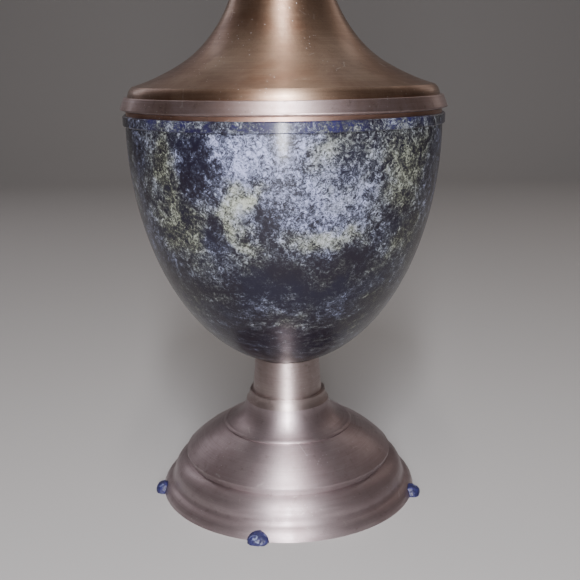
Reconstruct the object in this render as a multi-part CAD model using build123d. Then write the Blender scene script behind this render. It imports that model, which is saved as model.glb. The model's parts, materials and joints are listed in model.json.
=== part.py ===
from build123d import *
import math
import os

# A covered presentation urn. A stepped foot, a stem and an open bowl are spun from sheet brass and
# clamped on one threaded rod, and a flanged lid drops into the ring in the bowl's mouth.
# Outlines are drawn as (radius, height) and turned about the vertical axis. Heights start at the table.

# Sheet and fits
sheet = 1.2                    # wall of every spun shell
slip = 0.3                     # gap between pieces that slip into one another
lid_play = 0.4                 # gap all round between the lid's spigot and the neck ring
hem = 6.0                      # width of a spun edge that is turned inwards

# Foot, lower stage
base_radius = 86.4
base_height = 25.2
crease_inset = 7.7             # groove between the roll and the flared rim, in from the rim's edge
crease_height = 7.6
crease_round = 5.0
shoulder_inset = 16.6          # where the roll starts, below the riser
riser_inset = 17.8
riser_height = 3.4
roll_bulge = 3.1
rim_bulge = 1.9

# Foot, domed stage
dome_lap = 1.1                 # how far the dome's edge stands out past the riser
dome_height = 19.3
dome_lip = 1.4
dome_top_radius = 43.6
dome_bulge = 1.75

# Foot, bell skirt with its beaded edge
skirt_radius = 43.8
skirt_height = 16.7
skirt_hollow = 3.0             # how far the bell's curve is drawn in from a straight cone
bead_height = 2.3
bead_width = 2.8

# Stem and the collar that holds its foot
collar_radius = 25.7           # at its lip
collar_foot_radius = 28.0
collar_height = 6.6
collar_hollow = 0.5
collar_floor = 2.0
stem_foot_radius = 23.9
stem_top_radius = 21.8
stem_length = 29.1
stem_wall = 1.5
stem_waist = 0.35
stem_edge = 0.4                # bevel round the top of the tube
stem_fit = 0.1                 # between the tube and the cup it stands in
plug_height = 8.0

# Bowl: the wall is a quarter of an ellipse, cut flat where it sits on the stem
bowl_radius = 100.4
bowl_depth = 159.1             # half height of that ellipse
bowl_seat_radius = 21.0
rim_height = 6.2               # straight wall above the ellipse's widest point
band_height = 6.5
band_thickness = 1.6
band_lip = 0.8
neck_wall = 1.8                # sleeve of the ring that the lid drops into
neck_step = 0.5                # how far the ring's shoulder is set in from the bowl's outside
neck_shoulder = 2.3
neck_sleeve = 6.0               # length inside the bowl, no more than the straight wall

# Lid: flange, trumpet and the spigot that centres it
flange_overhang = 3.1          # past the bowl
flange_lean = 2.8              # how much smaller it is at the top
flange_height = 8.6
flange_chamfer = 1.2
flange_undercut = 4.1
flange_land = 8.4              # width of the flange's flat top
spigot_drop = 10.0
spigot_wall = 1.2
trumpet_setback = 2.3          # from the flange's top edge to the rim that is turned down on it
trumpet_rim_round = 7.9
trumpet_rim_slope = 38.0       # degrees below level where the rim's rounding starts, at a soft edge
trumpet_edge_slope = 17.0      # and where the sweep ends at that edge
trumpet_height = 77.0          # from the flange up to the neck's edge
neck_radius = 30.0
# The trumpet's curve, as shares of its spread and of its rise, from the neck down
trumpet_curve = ((0.091, 0.657), (0.274, 0.398), (0.502, 0.210), (0.764, 0.081))

# Lid top: collar, cap and finial
lid_collar_radius = 35.0
lid_collar_height = 6.0
lid_collar_spigot = 6.0
cap_radius = 30.0
cap_height = 18.0
cap_edge = 2.5
cap_top_radius = 9.0
cap_hollow = 3.2
finial_base_height = 8.0
finial_base_radius = 8.0
finial_waist_radius = 4.6
finial_seat_radius = 5.6
ball_radius = 15.0
tip_radius = 4.6
tip_height = 9.0

# Fasteners
rod_radius = 4.0
rod_washer_radius = 12.0
rod_washer = 1.6
rod_nut = 6.5
rod_nut_width = 13.0           # across the flats
acorn_height = 14.0
spring_washer_radius = 7.4
spring_washer = 2.0
spring_washer_gap = 1.2
gasket_radius = 17.0
gasket = 2.0
stud_radius = 3.0
stud_washer_radius = 12.0
stud_nut = 5.0
stud_nut_width = 10.0
thread_end = 2.0               # how far a rod or stud stands out past its nut

# Inside and under the foot
ballast_radius = 55.0
ballast_height = 12.0
ballast_recess_radius = 14.5
ballast_recess = 4.0
base_plate = 1.0
pad_radius = 6.8               # soft grip pads pressed against the rim
pad_height = 6.6
pad_inset = 1.2                # how far a pad's centre lies inside the rim's edge
pad_angles = (85.0, 190.0, 257.5, 344.0)

# Heights and radii that follow from the sizes above
crease_radius = base_radius - crease_inset
shoulder_radius = base_radius - shoulder_inset
riser_radius = base_radius - riser_inset
dome_radius = riser_radius + dome_lap
neck_bore = bowl_radius - sheet - neck_wall
neck_shoulder_radius = bowl_radius - neck_step
flange_radius = bowl_radius + flange_overhang
flange_top_radius = flange_radius - flange_lean
flange_foot_radius = flange_radius - flange_undercut
trumpet_foot_radius = flange_top_radius - trumpet_setback
rod_hole = rod_radius + slip
stud_hole = stud_radius + slip
dome_foot = base_height
skirt_foot = dome_foot + dome_height
collar_foot = skirt_foot + skirt_height
stem_foot = collar_foot + collar_floor
stem_top = stem_foot + stem_length
belly = stem_top + bowl_depth * math.sqrt(1 - (bowl_seat_radius / bowl_radius) ** 2)
rim = belly + rim_height
lid_seat = rim + neck_shoulder
flange_top = lid_seat + flange_height
neck_top = flange_top + trumpet_height
cap_foot = neck_top + lid_collar_height
cap_top = cap_foot + cap_height
ball_foot = cap_top + finial_base_height
ball_centre = ball_foot + math.sqrt(ball_radius ** 2 - finial_seat_radius ** 2)
tip_foot = ball_centre + math.sqrt(ball_radius ** 2 - (tip_radius - 1) ** 2)
spigot_radius = neck_bore - lid_play


def turned(outline):
    """Turn a closed outline, drawn as radius and height, about the vertical axis."""
    return revolve(Plane.XZ * make_face(outline.edges()), Axis.Z)


def spun(path):
    """Sheet brass whose outer face follows a path that starts along its flat top.
    Of the two sides of the path, the sheet lies on the one that stays below that top."""
    wire = Wire(path.edges())
    walls = [offset(wire, amount=sheet, side=side, kind=Kind.ARC) for side in (Side.LEFT, Side.RIGHT)]
    return turned(min(walls, key=lambda wall: wall.bounding_box().max.Y))


def ring(inner, outer, foot, top):
    """A plain turned ring or washer."""
    return turned(Polyline((inner, foot), (outer, foot), (outer, top), (inner, top), close=True))


def hexagon(width, foot, height):
    """A hexagonal bar, given its width across the flats."""
    return Pos(0, 0, foot) * extrude(RegularPolygon(width / 2, 6, major_radius=False), height)


def rod_between(radius, foot, top, chamfer_size):
    """A round rod with both ends chamfered."""
    bar = Pos(0, 0, foot) * Cylinder(radius, top - foot, align=(Align.CENTER, Align.CENTER, Align.MIN))
    return chamfer(bar.edges().filter_by(GeomType.CIRCLE), chamfer_size)


# Foot

def base_outline():
    """The lower stage's outside, from its flat top down the riser, the roll and the flared rim."""
    shoulder = base_height - riser_height
    path = Polyline((rod_hole, base_height), (riser_radius, base_height), (riser_radius, shoulder + 0.5),
                    (shoulder_radius, shoulder))
    path += SagittaArc((shoulder_radius, shoulder), (crease_radius, crease_height), roll_bulge)
    path += SagittaArc((crease_radius, crease_height), (base_radius, 0), rim_bulge)
    wire = Wire(path.edges())
    crease = wire.vertices().sort_by_distance((crease_radius, crease_height))[0]
    return wire.fillet_2d(crease_round, [crease])


def base_shell():
    """Lower stage: a flat top, a short riser, a full roll, a soft crease and a flared rim."""
    return spun(base_outline() + Line((base_radius, 0), (base_radius - hem, 0)))


def base_dome():
    """Domed stage with a small upright lip and an edge turned in under it."""
    lip = dome_foot + dome_lip
    path = Line((rod_hole, skirt_foot), (dome_top_radius, skirt_foot))
    path += SagittaArc((dome_top_radius, skirt_foot), (dome_radius, lip), dome_bulge)
    path += Polyline((dome_radius, lip), (dome_radius, dome_foot), (dome_radius - hem, dome_foot))
    return spun(path)


def foot_skirt():
    """Bell that sweeps out from the collar to a rounded bead."""
    bead_top = skirt_foot + bead_height
    bead_inner = skirt_radius - bead_width
    path = Line((rod_hole, collar_foot), (collar_foot_radius, collar_foot))
    path += SagittaArc((collar_foot_radius, collar_foot), (bead_inner, bead_top), -skirt_hollow)
    path += ThreePointArc((bead_inner, bead_top),
                          (skirt_radius - 0.25 * bead_width, bead_top - 0.3 * bead_height),
                          (skirt_radius, skirt_foot + 0.35 * bead_height))
    path += Polyline((skirt_radius, skirt_foot + 0.35 * bead_height), (skirt_radius - 0.5, skirt_foot),
                     (skirt_radius - hem, skirt_foot))
    return spun(path)


def stem_collar():
    """Turned cup that the stem's foot stands in."""
    top = collar_foot + collar_height
    bore = stem_foot_radius + stem_fit
    held = (top - stem_foot) / stem_length
    waist = 4 * stem_waist * held * (1 - held)
    mouth = stem_foot_radius + (stem_top_radius - stem_foot_radius) * held - waist + stem_fit
    lip = collar_radius - 0.35
    outline = Polyline((bore, stem_foot), (rod_hole, stem_foot), (rod_hole, collar_foot),
                       (collar_foot_radius, collar_foot))
    outline += SagittaArc((collar_foot_radius, collar_foot), (collar_radius, top - 0.5), collar_hollow)
    outline += Polyline((collar_radius, top - 0.5), (lip, top), (lip - 0.5, top), (mouth, top - 0.2),
                        (bore, stem_foot))
    return turned(outline)


def stem_tube():
    """Drawn tube, slightly waisted, from the collar up to the bowl."""
    outer = SagittaArc((stem_foot_radius, stem_foot), (stem_top_radius, stem_top - stem_edge), stem_waist)
    inner = SagittaArc((stem_top_radius - stem_wall, stem_top), (stem_foot_radius - stem_wall, stem_foot),
                       -stem_waist)
    bevel = Polyline(outer @ 1, (stem_top_radius - stem_edge, stem_top), inner @ 0)
    outline = outer + bevel + inner + Line(inner @ 1, outer @ 0)
    return turned(outline)


def stem_plug():
    """Turned plug in the top of the stem, which the bowl is pulled down on."""
    return ring(rod_hole, stem_top_radius - stem_wall - slip, stem_top - plug_height, stem_top)


def ballast_weight():
    """Cast disc that steadies the urn, recessed underneath for the nut."""
    top = base_height - sheet
    foot = top - ballast_height
    outline = Polyline((rod_hole, top), (rod_hole, foot + ballast_recess),
                       (ballast_recess_radius, foot + ballast_recess), (ballast_recess_radius, foot),
                       (ballast_radius - 1.5, foot), (ballast_radius, foot + 1.5), (ballast_radius, top),
                       close=True)
    return turned(outline)


def base_plate_disc():
    """Thin plate that closes the foot from below, resting on the turned-in rim."""
    return ring(0, base_radius - hem / 2, sheet, sheet + base_plate)


def base_felt():
    """Felt disc under the plate, level with the rim."""
    return ring(0, base_radius - hem - slip, 0, sheet)


def grip_pads():
    """Soft pads pressed on the table and against the rim, trimmed to the rim's curve."""
    foot_form = turned(base_outline() + Polyline((base_radius, 0), (rod_hole, 0), (rod_hole, base_height)))
    pad = Cylinder(pad_radius, pad_height, align=(Align.CENTER, Align.CENTER, Align.MIN))
    pad = fillet(pad.edges().filter_by(GeomType.CIRCLE).sort_by(Axis.Z)[-1], 0.85 * pad_radius)
    pads = []
    for angle in pad_angles:
        pads += (Rot(0, 0, angle) * Pos(base_radius - pad_inset, 0, 0) * pad - foot_form).solids()
    return Compound(pads)


# Bowl

def bowl_shell():
    """Deep egg-shaped bowl with a flat bottom on the stem."""
    across = bowl_radius - sheet
    down = bowl_depth - sheet
    floor_angle = math.degrees(math.asin((belly - stem_top - sheet) / down))
    outer = EllipticalCenterArc((0, belly), bowl_radius, bowl_depth,
                                arc_size=-math.degrees(math.acos(bowl_seat_radius / bowl_radius)))
    inner = EllipticalCenterArc((0, belly), across, down, arc_size=-floor_angle)
    top = rim - band_lip
    outline = Polyline((bowl_radius, belly), (bowl_radius, top), (across, top), (across, belly))
    outline += inner
    outline += Polyline(inner @ 1, (rod_hole, stem_top + sheet), (rod_hole, stem_top), outer @ 1)
    return turned(outline + outer)


def bowl_band():
    """Plain band round the bowl's mouth, with a lip over the cut edge."""
    outer = bowl_radius + band_thickness
    foot = rim - band_height
    inner = bowl_radius - sheet
    outline = Polyline((bowl_radius, foot), (outer - 0.5, foot), (outer, foot + 0.5), (outer, rim - 0.7),
                       (outer - 0.7, rim), (inner, rim), (inner, rim - band_lip),
                       (bowl_radius, rim - band_lip), close=True)
    return turned(outline)


def neck_ring():
    """Bright ring soldered in the mouth: its sleeve lines the bowl and its shoulder carries the lid."""
    inner = bowl_radius - sheet
    outline = Polyline((neck_bore, rim - neck_sleeve), (inner, rim - neck_sleeve), (inner, rim),
                       (neck_shoulder_radius, rim), (neck_shoulder_radius, lid_seat),
                       (neck_bore, lid_seat), close=True)
    return turned(outline)


# The rod through the foot, stem and bowl, and what clamps it

def bowl_gasket():
    """Soft ring between the bowl's bottom and the clamp washer."""
    return ring(rod_hole, gasket_radius, stem_top + sheet, stem_top + sheet + gasket)


def bowl_washer():
    """Large washer inside the bowl."""
    foot = stem_top + sheet + gasket
    return ring(rod_hole, rod_washer_radius, foot, foot + rod_washer)


def bowl_acorn_nut():
    """Domed nut inside the bowl, closed at the top."""
    foot = stem_top + sheet + gasket + rod_washer
    dome = rod_nut_width / 2 - 0.3
    straight = acorn_height - dome
    cap = turned(Line((0, 0), (dome, 0)) + Line((dome, 0), (dome, straight))
                 + ThreePointArc((dome, straight), (dome * math.cos(math.pi / 4),
                                                    straight + dome * math.sin(math.pi / 4)),
                                 (0, acorn_height))
                 + Line((0, acorn_height), (0, 0)))
    hole = Cylinder(rod_radius, rod_nut + thread_end + 1, align=(Align.CENTER, Align.CENTER, Align.MIN))
    return hexagon(rod_nut_width, foot, rod_nut) + Pos(0, 0, foot) * cap - Pos(0, 0, foot) * hole


def tie_rod():
    """Threaded rod, from the nut in the foot to the domed nut in the bowl."""
    foot = base_stack() - rod_nut - thread_end
    top = stem_top + sheet + gasket + rod_washer + rod_nut + thread_end
    return rod_between(rod_radius, foot, top, 0.6)


def base_stack():
    """Underside of the spring washer, where the nut in the foot bears."""
    return base_height - sheet - ballast_height + ballast_recess - rod_washer - spring_washer


def base_washer():
    """Flat washer in the ballast's recess."""
    foot = base_stack() + spring_washer
    return ring(rod_hole, rod_washer_radius, foot, foot + rod_washer)


def base_spring_washer():
    """Split spring washer."""
    body = ring(rod_hole, spring_washer_radius, base_stack(), base_stack() + spring_washer)
    middle = (rod_hole + spring_washer_radius) / 2
    split = Box(spring_washer_radius, spring_washer_gap, 3 * spring_washer)
    return body - Pos(middle, 0, base_stack() + spring_washer / 2) * Rot(20, 0, 0) * split


def base_nut():
    """Hexagon nut that pulls the whole stand together."""
    foot = base_stack() - rod_nut
    hole = Cylinder(rod_radius, 3 * rod_nut)
    return hexagon(rod_nut_width, foot, rod_nut) - Pos(0, 0, foot) * hole


# Lid

def lid_flange():
    """Channel-shaped rim whose outer face leans in towards the top."""
    corner = lid_seat + flange_chamfer
    path = FilletPolyline((flange_top_radius - flange_land, flange_top), (flange_top_radius, flange_top),
                          (flange_radius, corner), (flange_foot_radius, lid_seat),
                          (spigot_radius, lid_seat), radius=[0.7, 0.6, 0.5])
    return spun(path)


def lid_spigot():
    """Sleeve under the lid that drops inside the neck ring, with a lead-in at its foot."""
    inner = spigot_radius - spigot_wall
    foot = lid_seat - spigot_drop
    outline = Polyline((inner, foot), (spigot_radius - 0.5, foot), (spigot_radius, foot + 1.5),
                       (spigot_radius, flange_top - sheet), (inner, flange_top - sheet), close=True)
    return turned(outline)


def lid_trumpet():
    """Trumpet that sweeps from the upright neck to a rounded rim, turned down and in on the flange."""
    first = math.radians(90 - trumpet_rim_slope)
    level = math.asin(sheet / (trumpet_rim_round - sheet))
    edge_slope = math.radians(trumpet_edge_slope)

    def on_round(radius, angle):
        return (trumpet_foot_radius - trumpet_rim_round + radius * math.cos(angle),
                flange_top + radius * math.sin(angle))

    outer_round = ThreePointArc(*[on_round(trumpet_rim_round, angle) for angle in (first, first / 2, 0)])
    start = outer_round @ 0
    points = [(neck_radius + (start.X - neck_radius) * out, start.Y + (neck_top - start.Y) * up)
              for out, up in trumpet_curve]
    ends = ((0, -1), (math.cos(edge_slope), -math.sin(edge_slope)))
    outer = Spline((neck_radius, neck_top), *points, start, tangents=ends)
    steps = [step / 8 for step in range(9)]
    inner = Spline(*[outer @ t + sheet * Vector((outer % t).Y, -(outer % t).X) for t in steps], tangents=ends)
    inner_radius = trumpet_rim_round - sheet
    inner_round = ThreePointArc(inner @ 1, on_round(inner_radius, first / 2), on_round(inner_radius, level))
    turned_in = trumpet_foot_radius - hem
    edge = Polyline(outer_round @ 1, (turned_in, flange_top), (turned_in, flange_top + sheet), inner_round @ 1)
    return turned(outer + outer_round + edge + inner_round + inner + Line(inner @ 0, outer @ 0))


def lid_collar():
    """Turned ring with a rounded edge, plugged into the neck."""
    half = lid_collar_height / 2
    plug = neck_radius - sheet - slip
    outline = Polyline((stud_hole, cap_foot), (stud_hole, neck_top - lid_collar_spigot),
                       (plug, neck_top - lid_collar_spigot), (plug, neck_top),
                       (lid_collar_radius - half, neck_top))
    outline += ThreePointArc((lid_collar_radius - half, neck_top), (lid_collar_radius, neck_top + half),
                             (lid_collar_radius - half, cap_foot))
    outline += Line((lid_collar_radius - half, cap_foot), (stud_hole, cap_foot))
    return turned(outline)


def lid_cap():
    """Small spun cap with a hollow curve and an upright edge."""
    path = Line((stud_hole, cap_top), (cap_top_radius, cap_top))
    path += SagittaArc((cap_top_radius, cap_top), (cap_radius, cap_foot + cap_edge), -cap_hollow)
    path += Polyline((cap_radius, cap_foot + cap_edge), (cap_radius, cap_foot), (cap_radius - hem, cap_foot))
    return spun(path)


def finial_base():
    """Waisted foot of the finial."""
    middle = cap_top + finial_base_height / 2
    outline = Polyline((stud_hole, ball_foot), (stud_hole, cap_top), (finial_base_radius, cap_top),
                       (finial_base_radius, cap_top + 1.2))
    outline += ThreePointArc((finial_base_radius, cap_top + 1.2), (finial_waist_radius, middle),
                             (finial_seat_radius, ball_foot))
    outline += Line((finial_seat_radius, ball_foot), (stud_hole, ball_foot))
    return turned(outline)


def finial_ball():
    """Ball, flattened where it stands on its foot and where the tip sits, bored for stud and tip."""
    flat = tip_radius - 1
    outline = Line((0, ball_foot), (finial_seat_radius, ball_foot))
    outline += ThreePointArc((finial_seat_radius, ball_foot), (ball_radius, ball_centre), (flat, tip_foot))
    outline += Polyline((flat, tip_foot), (0, tip_foot), (0, ball_foot))
    low_hole = Pos(0, 0, ball_foot) * Cylinder(stud_radius, 2 * ball_radius)
    top_hole = Pos(0, 0, tip_foot) * Cylinder(stud_radius / 2, ball_radius)
    return turned(outline) - low_hole - top_hole


def finial_tip():
    """Small turned button that screws into the top of the ball."""
    spigot = stud_radius / 2
    end = tip_foot - ball_radius / 2 + 1
    outline = Polyline((0, end), (spigot, end), (spigot, tip_foot), (tip_radius - 1, tip_foot),
                       (tip_radius, tip_foot + 1.2), (tip_radius - 1.4, tip_foot + 2.6))
    outline += SagittaArc((tip_radius - 1.4, tip_foot + 2.6), (0.8, tip_foot + tip_height), 0.6)
    outline += Polyline((0.8, tip_foot + tip_height), (0, tip_foot + tip_height), (0, end))
    return turned(outline)


def stud_bearing():
    """Underside of the lid's collar, where the stud's washer bears."""
    return neck_top - lid_collar_spigot


def finial_stud():
    """Stud from the ball down through cap and collar."""
    foot = stud_bearing() - rod_washer - stud_nut - thread_end
    return rod_between(stud_radius, foot, ball_foot + ball_radius - 1, 0.5)


def finial_washer():
    """Washer inside the neck."""
    return ring(stud_hole, stud_washer_radius, stud_bearing() - rod_washer, stud_bearing())


def finial_nut():
    """Nut inside the neck, which holds the finial, cap and collar to the trumpet."""
    foot = stud_bearing() - rod_washer - stud_nut
    hole = Cylinder(stud_radius, 3 * stud_nut)
    return hexagon(stud_nut_width, foot, stud_nut) - Pos(0, 0, foot) * hole


pieces = {
    "base_shell": base_shell,
    "base_dome": base_dome,
    "foot_skirt": foot_skirt,
    "stem_collar": stem_collar,
    "stem_tube": stem_tube,
    "stem_plug": stem_plug,
    "ballast_weight": ballast_weight,
    "base_plate": base_plate_disc,
    "base_felt": base_felt,
    "grip_pads": grip_pads,
    "bowl_shell": bowl_shell,
    "bowl_band": bowl_band,
    "neck_ring": neck_ring,
    "bowl_gasket": bowl_gasket,
    "bowl_washer": bowl_washer,
    "bowl_acorn_nut": bowl_acorn_nut,
    "tie_rod": tie_rod,
    "base_washer": base_washer,
    "base_spring_washer": base_spring_washer,
    "base_nut": base_nut,
    "lid_flange": lid_flange,
    "lid_spigot": lid_spigot,
    "lid_trumpet": lid_trumpet,
    "lid_collar": lid_collar,
    "lid_cap": lid_cap,
    "finial_base": finial_base,
    "finial_ball": finial_ball,
    "finial_tip": finial_tip,
    "finial_stud": finial_stud,
    "finial_washer": finial_washer,
    "finial_nut": finial_nut,
}

os.makedirs("parts", exist_ok=True)
for name, make in pieces.items():
    export_step(make(), f"parts/{name}.step")
print(f"rim {rim:.1f}, lid seat {lid_seat:.1f}, overall height {tip_foot + tip_height:.1f}")
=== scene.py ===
import json
import math
import random

import bmesh
import bpy
from mathutils import Matrix, Vector, noise


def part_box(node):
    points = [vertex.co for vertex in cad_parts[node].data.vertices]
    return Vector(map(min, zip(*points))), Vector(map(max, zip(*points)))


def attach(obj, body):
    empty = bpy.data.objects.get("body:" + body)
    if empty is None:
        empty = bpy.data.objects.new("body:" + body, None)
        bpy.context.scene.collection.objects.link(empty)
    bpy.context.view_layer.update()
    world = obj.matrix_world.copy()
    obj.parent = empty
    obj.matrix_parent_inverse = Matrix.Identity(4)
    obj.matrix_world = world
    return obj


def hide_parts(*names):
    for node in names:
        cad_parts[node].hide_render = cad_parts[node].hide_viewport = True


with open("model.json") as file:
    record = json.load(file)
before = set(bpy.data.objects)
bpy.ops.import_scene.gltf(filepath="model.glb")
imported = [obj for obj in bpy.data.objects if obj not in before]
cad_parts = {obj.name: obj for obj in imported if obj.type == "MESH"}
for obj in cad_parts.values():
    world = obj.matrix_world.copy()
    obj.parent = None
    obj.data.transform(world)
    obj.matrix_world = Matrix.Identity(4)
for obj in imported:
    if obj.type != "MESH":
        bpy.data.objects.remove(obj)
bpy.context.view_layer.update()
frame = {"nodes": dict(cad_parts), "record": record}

# A covered urn in brushed brass, its bowl sponged in slate colours under a gloss coat.
# Metres throughout, +Z up, the foot's centre at the origin, the seen side towards -Y.


# Places read from the frame

bowl_low, bowl_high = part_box("bowl_shell")
foot_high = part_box("base_shell")[1]
pads_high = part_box("grip_pads")[1]
BOWL_RADIUS = bowl_high.x
BOWL_SEAT = 0.021                       # radius of the flat bottom on the stem
RIM_WALL = 0.0054                       # straight wall above the bowl's widest ring
BELLY = bowl_high.z - RIM_WALL          # height of that ring
BOWL_DEPTH = (BELLY - bowl_low.z) / math.sqrt(1 - (BOWL_SEAT / BOWL_RADIUS) ** 2)


def bowl_radius(height):
    """Outer radius of the bowl, a quarter of an ellipse below the belly."""
    drop = max(BELLY - height, 0) / BOWL_DEPTH
    return BOWL_RADIUS * math.sqrt(1 - drop * drop)


def on_bowl(angle, height):
    """A point on the bowl, its angle in degrees from the front and growing to the right."""
    turn = math.radians(angle)
    radius = bowl_radius(height)
    return (radius * math.sin(turn), -radius * math.cos(turn), height)


# Camera

CAMERA_PLACE = (0.0028, -0.5732, 0.2825)
CAMERA_PITCH = 12.36          # degrees below level
CAMERA_ROLL = -0.67
CAMERA_LENS = 54.8            # mm on a 36 mm sensor
CAMERA_SHIFT_Y = -0.0517


def make_camera():
    data = bpy.data.cameras.new("camera")
    data.sensor_width = 36.0
    data.lens = CAMERA_LENS
    data.shift_y = CAMERA_SHIFT_Y
    camera = bpy.data.objects.new("camera", data)
    bpy.context.collection.objects.link(camera)
    tilt = Matrix.Rotation(math.radians(90 - CAMERA_PITCH), 4, "X")
    roll = Matrix.Rotation(math.radians(CAMERA_ROLL), 4, "Z")
    camera.matrix_world = Matrix.Translation(CAMERA_PLACE) @ tilt @ roll
    bpy.context.scene.camera = camera


# Shader nodes

def colour(red, green, blue):
    return (red, green, blue, 1.0)


class Shader:
    """A material and short ways to add nodes to it. A value given for an input is a number, a
    colour, or the output of another node, which is then linked."""

    def __init__(self, name, **inputs):
        self.material = bpy.data.materials.new(name)
        self.material.use_nodes = True
        self.tree = self.material.node_tree
        self.surface = self.tree.nodes["Principled BSDF"]
        self.set(self.surface, inputs)
        coordinates = self.add("ShaderNodeTexCoord")
        self.place = coordinates.outputs["Object"]

    def set(self, node, inputs):
        for name, value in inputs.items():
            socket = node.inputs[name]
            if isinstance(value, bpy.types.NodeSocket):
                self.tree.links.new(value, socket)
            else:
                socket.default_value = value

    def add(self, kind, inputs=None, **settings):
        node = self.tree.nodes.new(kind)
        for name, value in settings.items():
            setattr(node, name, value)
        self.set(node, inputs or {})
        return node

    def maths(self, operation, *values, clamp=False):
        node = self.add("ShaderNodeMath", dict(enumerate(values)), operation=operation, use_clamp=clamp)
        return node.outputs[0]

    def sum(self, *values):
        total = values[0]
        for value in values[1:]:
            total = self.maths("ADD", total, value)
        return total

    def times(self, first, second):
        return self.maths("MULTIPLY", first, second)

    def vector(self, operation, *values, output="Vector", **inputs):
        node = self.add("ShaderNodeVectorMath", {**dict(enumerate(values)), **inputs}, operation=operation)
        return node.outputs[output]

    def split(self, value):
        return self.add("ShaderNodeSeparateXYZ", {"Vector": value}).outputs

    def noise(self, scale, detail=4.0, roughness=0.55, distortion=0.0, at=None, output="Fac"):
        inputs = {"Vector": at or self.place, "Scale": scale, "Detail": detail, "Roughness": roughness,
                  "Distortion": distortion}
        return self.add("ShaderNodeTexNoise", inputs).outputs[output]

    def swing(self, amount, *settings, **named):
        """Noise that swings both ways about zero."""
        return self.times(self.maths("SUBTRACT", self.noise(*settings, **named), 0.5), amount)

    def range(self, value, low, high, to_low=0.0, to_high=1.0, smooth=True):
        kind = "SMOOTHSTEP" if smooth else "LINEAR"
        inputs = {"Value": value, "From Min": low, "From Max": high, "To Min": to_low, "To Max": to_high}
        return self.add("ShaderNodeMapRange", inputs, interpolation_type=kind).outputs["Result"]

    def mix(self, share, first, second):
        node = self.add("ShaderNodeMix", data_type="RGBA")
        self.set(node, {0: share, 6: first, 7: second})
        return node.outputs[2]

    def bump(self, height, distance, strength=1.0, normal=None):
        inputs = {"Height": height, "Distance": distance, "Strength": strength}
        if normal:
            inputs["Normal"] = normal
        return self.add("ShaderNodeBump", inputs).outputs["Normal"]

    def radius(self):
        return self.vector("LENGTH", self.vector("MULTIPLY", self.place, (1.0, 1.0, 0.0)), output="Value")

    def lathe(self, around, across):
        """Noise that runs in fine rings about the vertical axis, as a lathe tool leaves them."""
        flat = self.vector("MULTIPLY", self.place, (1.0, 1.0, 0.0))
        direction = self.split(self.vector("SCALE", self.vector("NORMALIZE", flat), Scale=around))
        height = self.split(self.place)["Z"]
        turned = self.add("ShaderNodeCombineXYZ", {"X": direction["X"], "Y": direction["Y"],
                                                   "Z": self.times(self.radius(), across)})
        inputs = {"Vector": turned.outputs[0], "W": self.times(height, across),
                  "Scale": 1.0, "Detail": 3.0, "Roughness": 0.6}
        return self.add("ShaderNodeTexNoise", inputs, noise_dimensions="4D").outputs["Fac"]

    def specks(self, scale, size, masked_by):
        """Small round dots, kept only where a slow noise is high."""
        dots = self.add("ShaderNodeTexVoronoi", {"Vector": self.place, "Scale": scale, "Randomness": 1.0})
        kept = self.range(self.noise(masked_by, 2.0), 0.52, 0.62)
        return self.times(self.range(dots.outputs["Distance"], size, size / 2), kept)

    def veins(self, scale, distortion, width):
        """Thin curling lines where a noise crosses its middle value."""
        level = self.noise(scale, 3.0, 0.6, distortion)
        return self.range(self.maths("ABSOLUTE", self.maths("SUBTRACT", level, 0.5)), width, 0.0)

    def scratches(self, scale, width):
        """Hairlines in all directions, broken up so that only a few show."""
        warped = self.vector("ADD", self.place, self.vector(
            "SCALE", self.noise(9.0, 2.0, output="Color"), Scale=0.05))
        cells = self.add("ShaderNodeTexVoronoi", {"Vector": warped, "Scale": scale},
                         feature="DISTANCE_TO_EDGE")
        kept = self.range(self.noise(70.0, 3.0), 0.58, 0.66)
        return self.times(self.range(cells.outputs["Distance"], width, width / 3), kept)


# Brass

TARNISH = colour(0.12, 0.085, 0.07)
DUST = colour(0.80, 0.76, 0.76)
SCRATCH = colour(0.85, 0.80, 0.76)


def brass(name, light, dark, roughness, haze=0.35):
    """Brushed and lacquered brass: turning lines, dull patches, tarnish, dust and hairline scratches."""
    s = Shader(name, Metallic=1.0, Anisotropic=0.7,
               **{"Anisotropic Rotation": 0.25, "Coat Weight": 0.20, "Coat Roughness": 0.17})
    around = s.add("ShaderNodeTangent", direction_type="RADIAL", axis="Z")
    s.set(s.surface, {"Tangent": around.outputs[0]})
    fine = s.lathe(1.5, 2600.0)
    coarse = s.lathe(0.8, 420.0)
    patches = s.noise(22.0, 5.0, 0.6, 0.4)
    clouds = s.noise(160.0, 6.0, 0.7)
    dull = s.range(s.sum(patches, s.times(coarse, 0.18)), 0.42, 0.80)
    tone = s.mix(dull, light, dark)
    tone = s.mix(s.range(fine, 0.3, 0.7, 0.0, 0.30), tone, dark)
    grain = s.noise(1500.0, 3.0, 0.7)
    tone = s.mix(s.range(grain, 0.45, 0.70, 0.0, 0.35), tone, dark)
    grime = s.range(clouds, 0.55, 0.75, 0.0, haze)
    tone = s.mix(grime, tone, TARNISH)
    dust = s.specks(380.0, 0.16, 45.0)
    tone = s.mix(s.times(dust, 0.65), tone, DUST)
    marks = s.scratches(38.0, 0.012)
    tone = s.mix(s.times(marks, 0.22), tone, SCRATCH)
    rough = s.sum(s.range(fine, 0.25, 0.75, roughness - 0.05, roughness + 0.07),
                  s.times(s.sum(dull, grime), 0.07), s.times(dust, 0.3))
    lines = s.sum(fine, s.times(coarse, 0.35), s.times(grain, 0.6))
    s.set(s.surface, {"Base Color": tone, "Roughness": rough, "Normal": s.bump(lines, 0.00003, 0.4)})
    return s.material


# Painted bowl. Each patch of paint: angle from the front in degrees, height, half width and half
# height in millimetres, how much paint (below zero bares the dark ground), and olive (1) or blue (-1).

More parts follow.
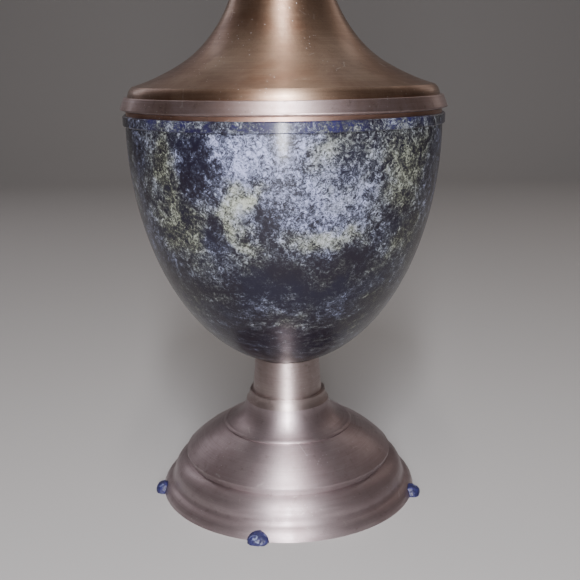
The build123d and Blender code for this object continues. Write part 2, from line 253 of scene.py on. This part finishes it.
FRONT_PATCHES = (
    # The first two patches, thick and blue at the front just under the band, give the lavender of a
    # painted highlight there.
    (-10, 237, 20, 13, 0.48, -1.0),
    (5, 245, 14, 9, 0.26, -1.0),
    (15, 216, 25, 24, 0.34, -0.1),
    (2, 218, 14, 16, 0.22, -0.8),
    (13, 186, 22, 8, 0.36, 0.9),
    (-12, 213, 12, 11, 0.42, 1.0),
    (-17, 194, 9, 15, 0.42, 0.8),
    (-29, 227, 14, 18, -0.36, -0.8),
    (-24, 188, 7, 12, -0.25, -0.6),
    (-43, 232, 8, 20, 0.0, 0.6),
    (-42, 192, 20, 22, -0.03, 0.9),
    (-60, 226, 8, 26, -0.20, -0.5),
    (-34, 158, 20, 13, -0.08, 0.3),
    (-9, 161, 24, 12, -0.34, -0.4),
    (3, 168, 9, 9, -0.30, 0.0),
    (39, 193, 13, 9, -0.18, -0.2),
    (26, 173, 15, 11, -0.30, 0.0),
    (11, 152, 17, 10, -0.28, 0.0),
    (21, 226, 9, 13, -0.34, -0.2),
    (45, 222, 17, 24, -0.05, 0.8),
    (50, 186, 10, 16, -0.06, 0.7),
    (46, 146, 16, 12, -0.16, 1.0),
    (-6, 137, 22, 5, 0.16, 0.4),
    (30, 128, 20, 6, 0.04, 0.6),
    (-40, 128, 22, 10, -0.14, 0.0),
)

# Pale paint drops, coloured bright bluish white as painted highlights: angle, height and half width
DROPS = (
    (-22, 214, 2.2), (-24, 207, 1.8), (-18, 209, 2.4), (-14, 207, 2.6), (-20, 201, 2.0),
    (-16, 198, 1.7), (-8.5, 187, 1.7), (-6, 179.5, 2.0), (-5, 174, 1.1), (-25, 219, 1.4),
)
DROP_WARP = 0.0030            # how far noise pushes a drop's outline
DROP_LIFT = 1.5               # mm, which makes up for that push upwards

# Tones of the sponged paint, each as its blue side and its olive side
SLATE = (colour(0.022, 0.024, 0.036), colour(0.030, 0.031, 0.024))
PALE = (colour(0.106, 0.116, 0.176), colour(0.128, 0.136, 0.106))
# The palest tone's blue side is the lavender of a painted highlight glow; its olive side is the palest
# paint.
PALEST_AND_GLOW = (colour(0.26, 0.28, 0.44), colour(0.27, 0.285, 0.225))
GROUND = colour(0.0052, 0.0036, 0.0078)
# The drops' bright bluish white is a painted highlight on raised paint.
DROP_HIGHLIGHT = colour(0.36, 0.40, 0.50)
BARE = (colour(0.42, 0.31, 0.16), colour(0.24, 0.17, 0.09))       # brass inside, bright and dull


BACK_START = 76               # degrees, just past the front's list
BACK_SPAN = 208
BACK_COUNT = 26
BACK_SEED = 7


def back_patches():
    """Patches for the side that the front's list leaves out, drawn from a fixed seed."""
    draw = random.Random(BACK_SEED)
    patches = []
    for step in range(BACK_COUNT):
        angle = BACK_START + (step * BACK_SPAN / BACK_COUNT) + draw.uniform(-4, 4)
        amount = draw.choice((-0.4, -0.25, 0.12, 0.25, 0.4))
        patches.append((angle, draw.uniform(122, 246), draw.uniform(10, 24), draw.uniform(8, 20), amount,
                        draw.uniform(-1, 1)))
    return patches


def falloff(s, at, angle, height, across, up, outer=1.5, inner=0.2):
    """One at a place on the bowl, and nothing beyond its half width and half height."""
    offset = s.vector("SUBTRACT", at, on_bowl(angle, height / 1000))
    scaled = s.vector("MULTIPLY", offset, (1000 / across, 1000 / across, 1000 / up))
    return s.range(s.vector("LENGTH", scaled, output="Value"), outer, inner)


def paint_fields(s):
    """How thick the sponged paint lies, and how olive it is, from the patches and slow noise."""
    push = s.vector("SUBTRACT", s.noise(42.0, 5.0, 0.6, output="Color"), (0.5, 0.5, 0.5))
    warp = s.vector("SCALE", push, Scale=0.045)
    at = s.vector("ADD", s.place, warp)
    thick = s.swing(1.0, 30.0, 3.0)
    olive = s.swing(3.0, 26.0, 3.0)
    for angle, height, across, up, amount, hue in (*FRONT_PATCHES, *back_patches()):
        near = falloff(s, at, angle, height, across, up)
        thick = s.sum(thick, s.times(near, amount))
        olive = s.sum(olive, s.times(near, hue))
    return thick, olive


def enamel(name, level, navy, strength=1.0):
    """Slate-blue, pale grey and olive paint sponged on near-black, under a clear gloss coat."""
    s = Shader(name, **{"Coat Weight": 0.6, "Coat Roughness": 0.15, "Coat IOR": 1.35,
                        "Specular IOR Level": 0.2})
    thick, olive = paint_fields(s)
    height = s.split(s.place)["Z"]
    low = s.range(height, 0.190, 0.130)
    streak_at = s.add("ShaderNodeMapping", {"Vector": s.place, "Rotation": (0, math.radians(28), 0),
                                            "Scale": (0.4, 1.0, 1.2)}).outputs[0]
    sponge = s.swing(1.5, 120.0, 5.0, 0.66, 0.8)
    grain = s.swing(2.5, 340.0, 4.0, 0.72, 1.4)
    streaks = s.swing(2.0, 260.0, 5.0, 0.62, 0.8, at=streak_at)
    texture = s.sum(sponge, grain)
    fade = s.maths("SUBTRACT", 1.0, s.times(low, 0.45))
    texture = s.sum(s.times(texture, fade), s.times(streaks, low))
    dark_veins = s.veins(190.0, 1.2, 0.034)
    pale_veins = s.veins(240.0, 1.6, 0.026)
    # The paint is thinned towards the bottom of the bowl, which darkens it there: painted shade on the
    # underside.
    cover = s.sum(s.times(thick, 0.80 * strength), texture, s.times(dark_veins, -0.50),
                  s.times(pale_veins, 0.26), s.times(low, -0.24), level)
    ground = s.mix(s.range(s.noise(28.0, 3.0), 0.42, 0.6), GROUND, navy)
    slate = s.mix(s.range(olive, -0.6, 0.9), *SLATE)
    pale = s.mix(s.range(olive, -0.7, 0.8), *PALE)
    light = s.mix(s.range(olive, -0.5, 1.0), *PALEST_AND_GLOW)
    tone = s.mix(s.range(cover, 0.08, 0.42, smooth=False), ground, slate)
    tone = s.mix(s.range(cover, 0.44, 0.70, smooth=False), tone, pale)
    tone = s.mix(s.range(cover, 0.74, 1.15, smooth=False), tone, light)
    push = s.vector("SCALE", s.noise(420.0, 3.0, output="Color"), Scale=DROP_WARP)
    spread = s.vector("ADD", s.place, push)
    chips = s.noise(650.0, 3.0, 0.6)
    # Raised paint drops in a painted highlight colour.
    for angle, place, size in DROPS:
        drop = falloff(s, spread, angle, place + DROP_LIFT, size, size, 1.25, 0.6)
        tone = s.mix(s.times(drop, s.range(chips, 0.40, 0.55, 0.15, 0.9)), tone, DROP_HIGHLIGHT)
    inside = inside_wall(s)
    bare = s.mix(s.noise(90.0, 5.0, 0.7), *BARE)
    s.set(s.surface, {"Base Color": s.mix(inside, tone, bare), "Metallic": inside,
                      "Roughness": s.range(cover, 0.3, 0.9, 0.42, 0.55),
                      "Normal": s.bump(cover, 0.00012, 0.3)})
    return s.material


LINING = (0.0005, 0.0007)     # depth below the painted face where the bare inside begins


def inside_wall(s):
    """One on the bowl's inner face, which is bare brass, and zero on the painted outside."""
    height = s.split(s.place)["Z"]
    drop = s.maths("MAXIMUM", s.maths("SUBTRACT", BELLY, height), 0.0)
    share = s.maths("DIVIDE", drop, BOWL_DEPTH)
    outline = s.maths("SQRT", s.maths("MAXIMUM", s.maths("SUBTRACT", 1.0, s.times(share, share)), 0.0))
    depth = s.maths("SUBTRACT", s.times(outline, BOWL_RADIUS), s.radius())
    return s.range(depth, *LINING)


# Plain materials

DULL_METAL = colour(0.2, 0.19, 0.18)


def plain_metal(name, base, roughness):
    s = Shader(name, Metallic=1.0)
    marks = s.noise(300.0, 5.0, 0.7)
    s.set(s.surface, {"Base Color": s.mix(s.range(marks, 0.35, 0.7, 0.0, 0.5), base, DULL_METAL),
                      "Roughness": s.range(marks, 0.3, 0.7, roughness, roughness + 0.15),
                      "Normal": s.bump(marks, 0.00005, 0.3)})
    return s.material


def soft(name, base, worn, scale, roughness):
    s = Shader(name, Roughness=roughness, **{"Sheen Weight": 0.3})
    nap = s.noise(scale, 6.0, 0.7)
    s.set(s.surface, {"Base Color": s.mix(s.range(nap, 0.35, 0.7), base, worn),
                      "Normal": s.bump(nap, 0.0004, 0.5)})
    return s.material


def putty(name):
    """Dark blue tack with finger dents and pale blue smears, which also paint in its highlights."""
    s = Shader(name, Roughness=0.5, **{"Coat Weight": 0.15, "Coat Roughness": 0.35})
    mottle = s.noise(420.0, 4.0, 0.6)
    tone = s.mix(s.range(mottle, 0.35, 0.65), colour(0.005, 0.005, 0.034), colour(0.014, 0.014, 0.078))
    # Pale blue smears of tack that also stand for painted highlights on the putty.
    smear_and_glint = s.range(s.noise(260.0, 3.0, 0.6, 0.8), 0.60, 0.68)
    tone = s.mix(s.times(smear_and_glint, 0.35), tone, colour(0.26, 0.31, 0.48))
    s.set(s.surface, {"Base Color": tone, "Normal": s.bump(mottle, 0.0006, 0.6)})
    return s.material


# The brass copies below are one metal in different tints, which are painted reflections: a lavender-pink
# cast on the foot and stem, and a darker brown on the flange and lid.
materials = {
    "brass_foot": brass("brass_foot", colour(0.50, 0.42, 0.43), colour(0.34, 0.265, 0.27), 0.47),
    "brass_stem": brass("brass_stem", colour(0.50, 0.42, 0.40), colour(0.34, 0.265, 0.25), 0.45),
    "brass_flange": brass("brass_flange", colour(0.46, 0.37, 0.37), colour(0.27, 0.19, 0.165), 0.45,
                          haze=0.65),
    "brass_lid": brass("brass_lid", colour(0.37, 0.26, 0.185), colour(0.19, 0.11, 0.072), 0.38),
    "brass_plain": plain_metal("brass_plain", colour(0.60, 0.47, 0.26), 0.3),
    "copper_ring": brass("copper_ring", colour(0.58, 0.39, 0.32), colour(0.38, 0.22, 0.16), 0.44),
    "enamel": enamel("enamel", 0.41, colour(0.0050, 0.0045, 0.0115)),
    "cast_iron": plain_metal("cast_iron", colour(0.12, 0.12, 0.12), 0.55),
    "steel": plain_metal("steel", colour(0.55, 0.56, 0.57), 0.3),
    "plate": plain_metal("plate", colour(0.45, 0.46, 0.47), 0.35),
    "felt": soft("felt", colour(0.02, 0.07, 0.045), colour(0.04, 0.11, 0.07), 900.0, 0.95),
    "gasket": soft("gasket", colour(0.02, 0.02, 0.02), colour(0.05, 0.05, 0.05), 500.0, 0.7),
    "pad_blue": putty("pad_blue"),
}
band_paint = enamel("enamel_band", 0.33, colour(0.009, 0.008, 0.046), 0.8)

slot_of = {entry["node"]: entry["material_slot"] for entry in frame["record"]["subparts"]}
for name, node in frame["nodes"].items():
    node.data.materials.clear()
    node.data.materials.append(band_paint if name == "bowl_band" else materials[slot_of[name]])


# Grip pads: lumps of putty pressed down on the table and in against the rim of the foot

PAD_ANGLES = (85.0, 190.0, 257.5, 344.0)
PAD_SPREAD = 0.0068           # half width along the rim
PAD_REACH = 0.0054            # how far a lump stands out from the rim
PAD_GAP = 0.0002              # between a lump's back and the rim
PAD_BITE = 0.0004             # how far its middle lies in from the rim's edge
PAD_FULLNESS = 1.15           # its reach before the front is pressed flat
PAD_CROWN = 0.93              # its top, as a share of the pad's height, before the dents
MERGE = 0.00003               # corners this close are made one
RIM_ARC = 0.00865             # radius of the flared rim's curve
RIM_ARC_IN = 0.00859          # how far that curve's centre lies in from the rim's edge
RIM_ARC_DOWN = 0.00101        # and how far below the table


def rim_radius(height):
    rise = min(height + RIM_ARC_DOWN, RIM_ARC)
    return foot_high.x - RIM_ARC_IN + math.sqrt(RIM_ARC ** 2 - rise ** 2)


def lump(mesh, angle, height):
    """One lump, dented by noise, its back following the rim and its foot flat on the table."""
    turn = math.radians(angle)
    made = bmesh.ops.create_icosphere(mesh, subdivisions=5, radius=1.0)["verts"]
    for vertex in made:
        seed = vertex.co * 1.6 + Vector((angle, 0, 0))
        bulge = 1 + 0.10 * noise.noise(seed) + 0.05 * noise.noise(seed * 2.7)
        out = vertex.co.x * bulge * PAD_REACH * PAD_FULLNESS
        along = vertex.co.y * bulge * PAD_SPREAD
        up = max(vertex.co.z * bulge * height * PAD_CROWN, 0.0)
        radius = max(foot_high.x - PAD_BITE + out, rim_radius(up) + PAD_GAP)
        radius = min(radius, foot_high.x + PAD_REACH)
        side = along / foot_high.x
        vertex.co = (radius * math.cos(turn + side), radius * math.sin(turn + side), up)


def make_pads():
    mesh = bmesh.new()
    for angle in PAD_ANGLES:
        lump(mesh, angle, pads_high.z)
    bmesh.ops.remove_doubles(mesh, verts=mesh.verts, dist=MERGE)
    data = bpy.data.meshes.new("putty_pads")
    mesh.to_mesh(data)
    mesh.free()
    for face in data.polygons:
        face.use_smooth = True
    data.materials.append(materials["pad_blue"])
    pads = bpy.data.objects.new("putty_pads", data)
    bpy.context.collection.objects.link(pads)
    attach(pads, "stand")
    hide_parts("grip_pads")


# Floor and light

def make_floor():
    """A pale floor that sweeps up into a backdrop far behind the object."""
    half_width, front, back, bend, top = 12.0, -12.0, 1.6, 1.2, 3.0
    line = [(front, 0.0), (back, 0.0)]
    steps = 24
    for step in range(1, steps + 1):
        turn = math.pi / 2 * step / steps
        line.append((back + bend * math.sin(turn), bend * (1 - math.cos(turn))))
    line.append((back + bend, top))
    points = [(x, y, z) for y, z in line for x in (-half_width, half_width)]
    faces = [(2 * i, 2 * i + 1, 2 * i + 3, 2 * i + 2) for i in range(len(line) - 1)]
    data = bpy.data.meshes.new("floor")
    data.from_pydata(points, [], faces)
    for face in data.polygons:
        face.use_smooth = True
    floor = bpy.data.objects.new("floor", data)
    bpy.context.collection.objects.link(floor)
    s = Shader("floor", **{"Base Color": colour(0.34, 0.33, 0.32), "Roughness": 0.75})
    data.materials.append(s.material)


def area_light(name, place, target, size, power, tint):
    data = bpy.data.lights.new(name, "AREA")
    data.shape = "RECTANGLE"
    data.size, data.size_y = size
    data.energy = power
    data.color = tint
    light = bpy.data.objects.new(name, data)
    bpy.context.collection.objects.link(light)
    light.location = place
    light.rotation_euler = (Vector(target) - Vector(place)).to_track_quat("-Z", "Y").to_euler()


MIDDLE = (0, 0, 0.2)

# Name, place, what it points at, width and height, watts, tint
LIGHTS = (
    ("front_strip", (-0.01, -0.80, 0.60), (0, 0, 0.60), (0.075, 1.0), 28.0, (0.95, 0.95, 1.0)),
    ("top_strip", (0.0, -0.45, 1.15), (0, -0.1, 0.2), (0.05, 0.7), 3.5, (1.0, 0.95, 0.90)),
    ("front_room", (0.0, -1.3, 0.7), MIDDLE, (1.6, 1.2), 1.3, (1.0, 0.95, 0.97)),
    ("left", (-0.95, 0.95, 0.95), MIDDLE, (0.4, 1.0), 1.8, (0.98, 0.90, 0.96)),
    ("right", (0.95, 0.95, 0.95), MIDDLE, (0.4, 1.0), 1.2, (1.0, 0.82, 0.74)),
    ("top", (0.0, 0.9, 2.2), MIDDLE, (3.0, 2.0), 9.0, (1, 1, 1)),
)
ROOM_TINT = colour(0.92, 0.76, 0.74)
ROOM_STRENGTH = 0.12


def make_lights():
    for light in LIGHTS:
        area_light(*light)
    world = bpy.data.worlds.new("world")
    world.use_nodes = True
    background = world.node_tree.nodes["Background"]
    background.inputs["Color"].default_value = ROOM_TINT
    background.inputs["Strength"].default_value = ROOM_STRENGTH
    bpy.context.scene.world = world


make_pads()
make_camera()
make_floor()
make_lights()
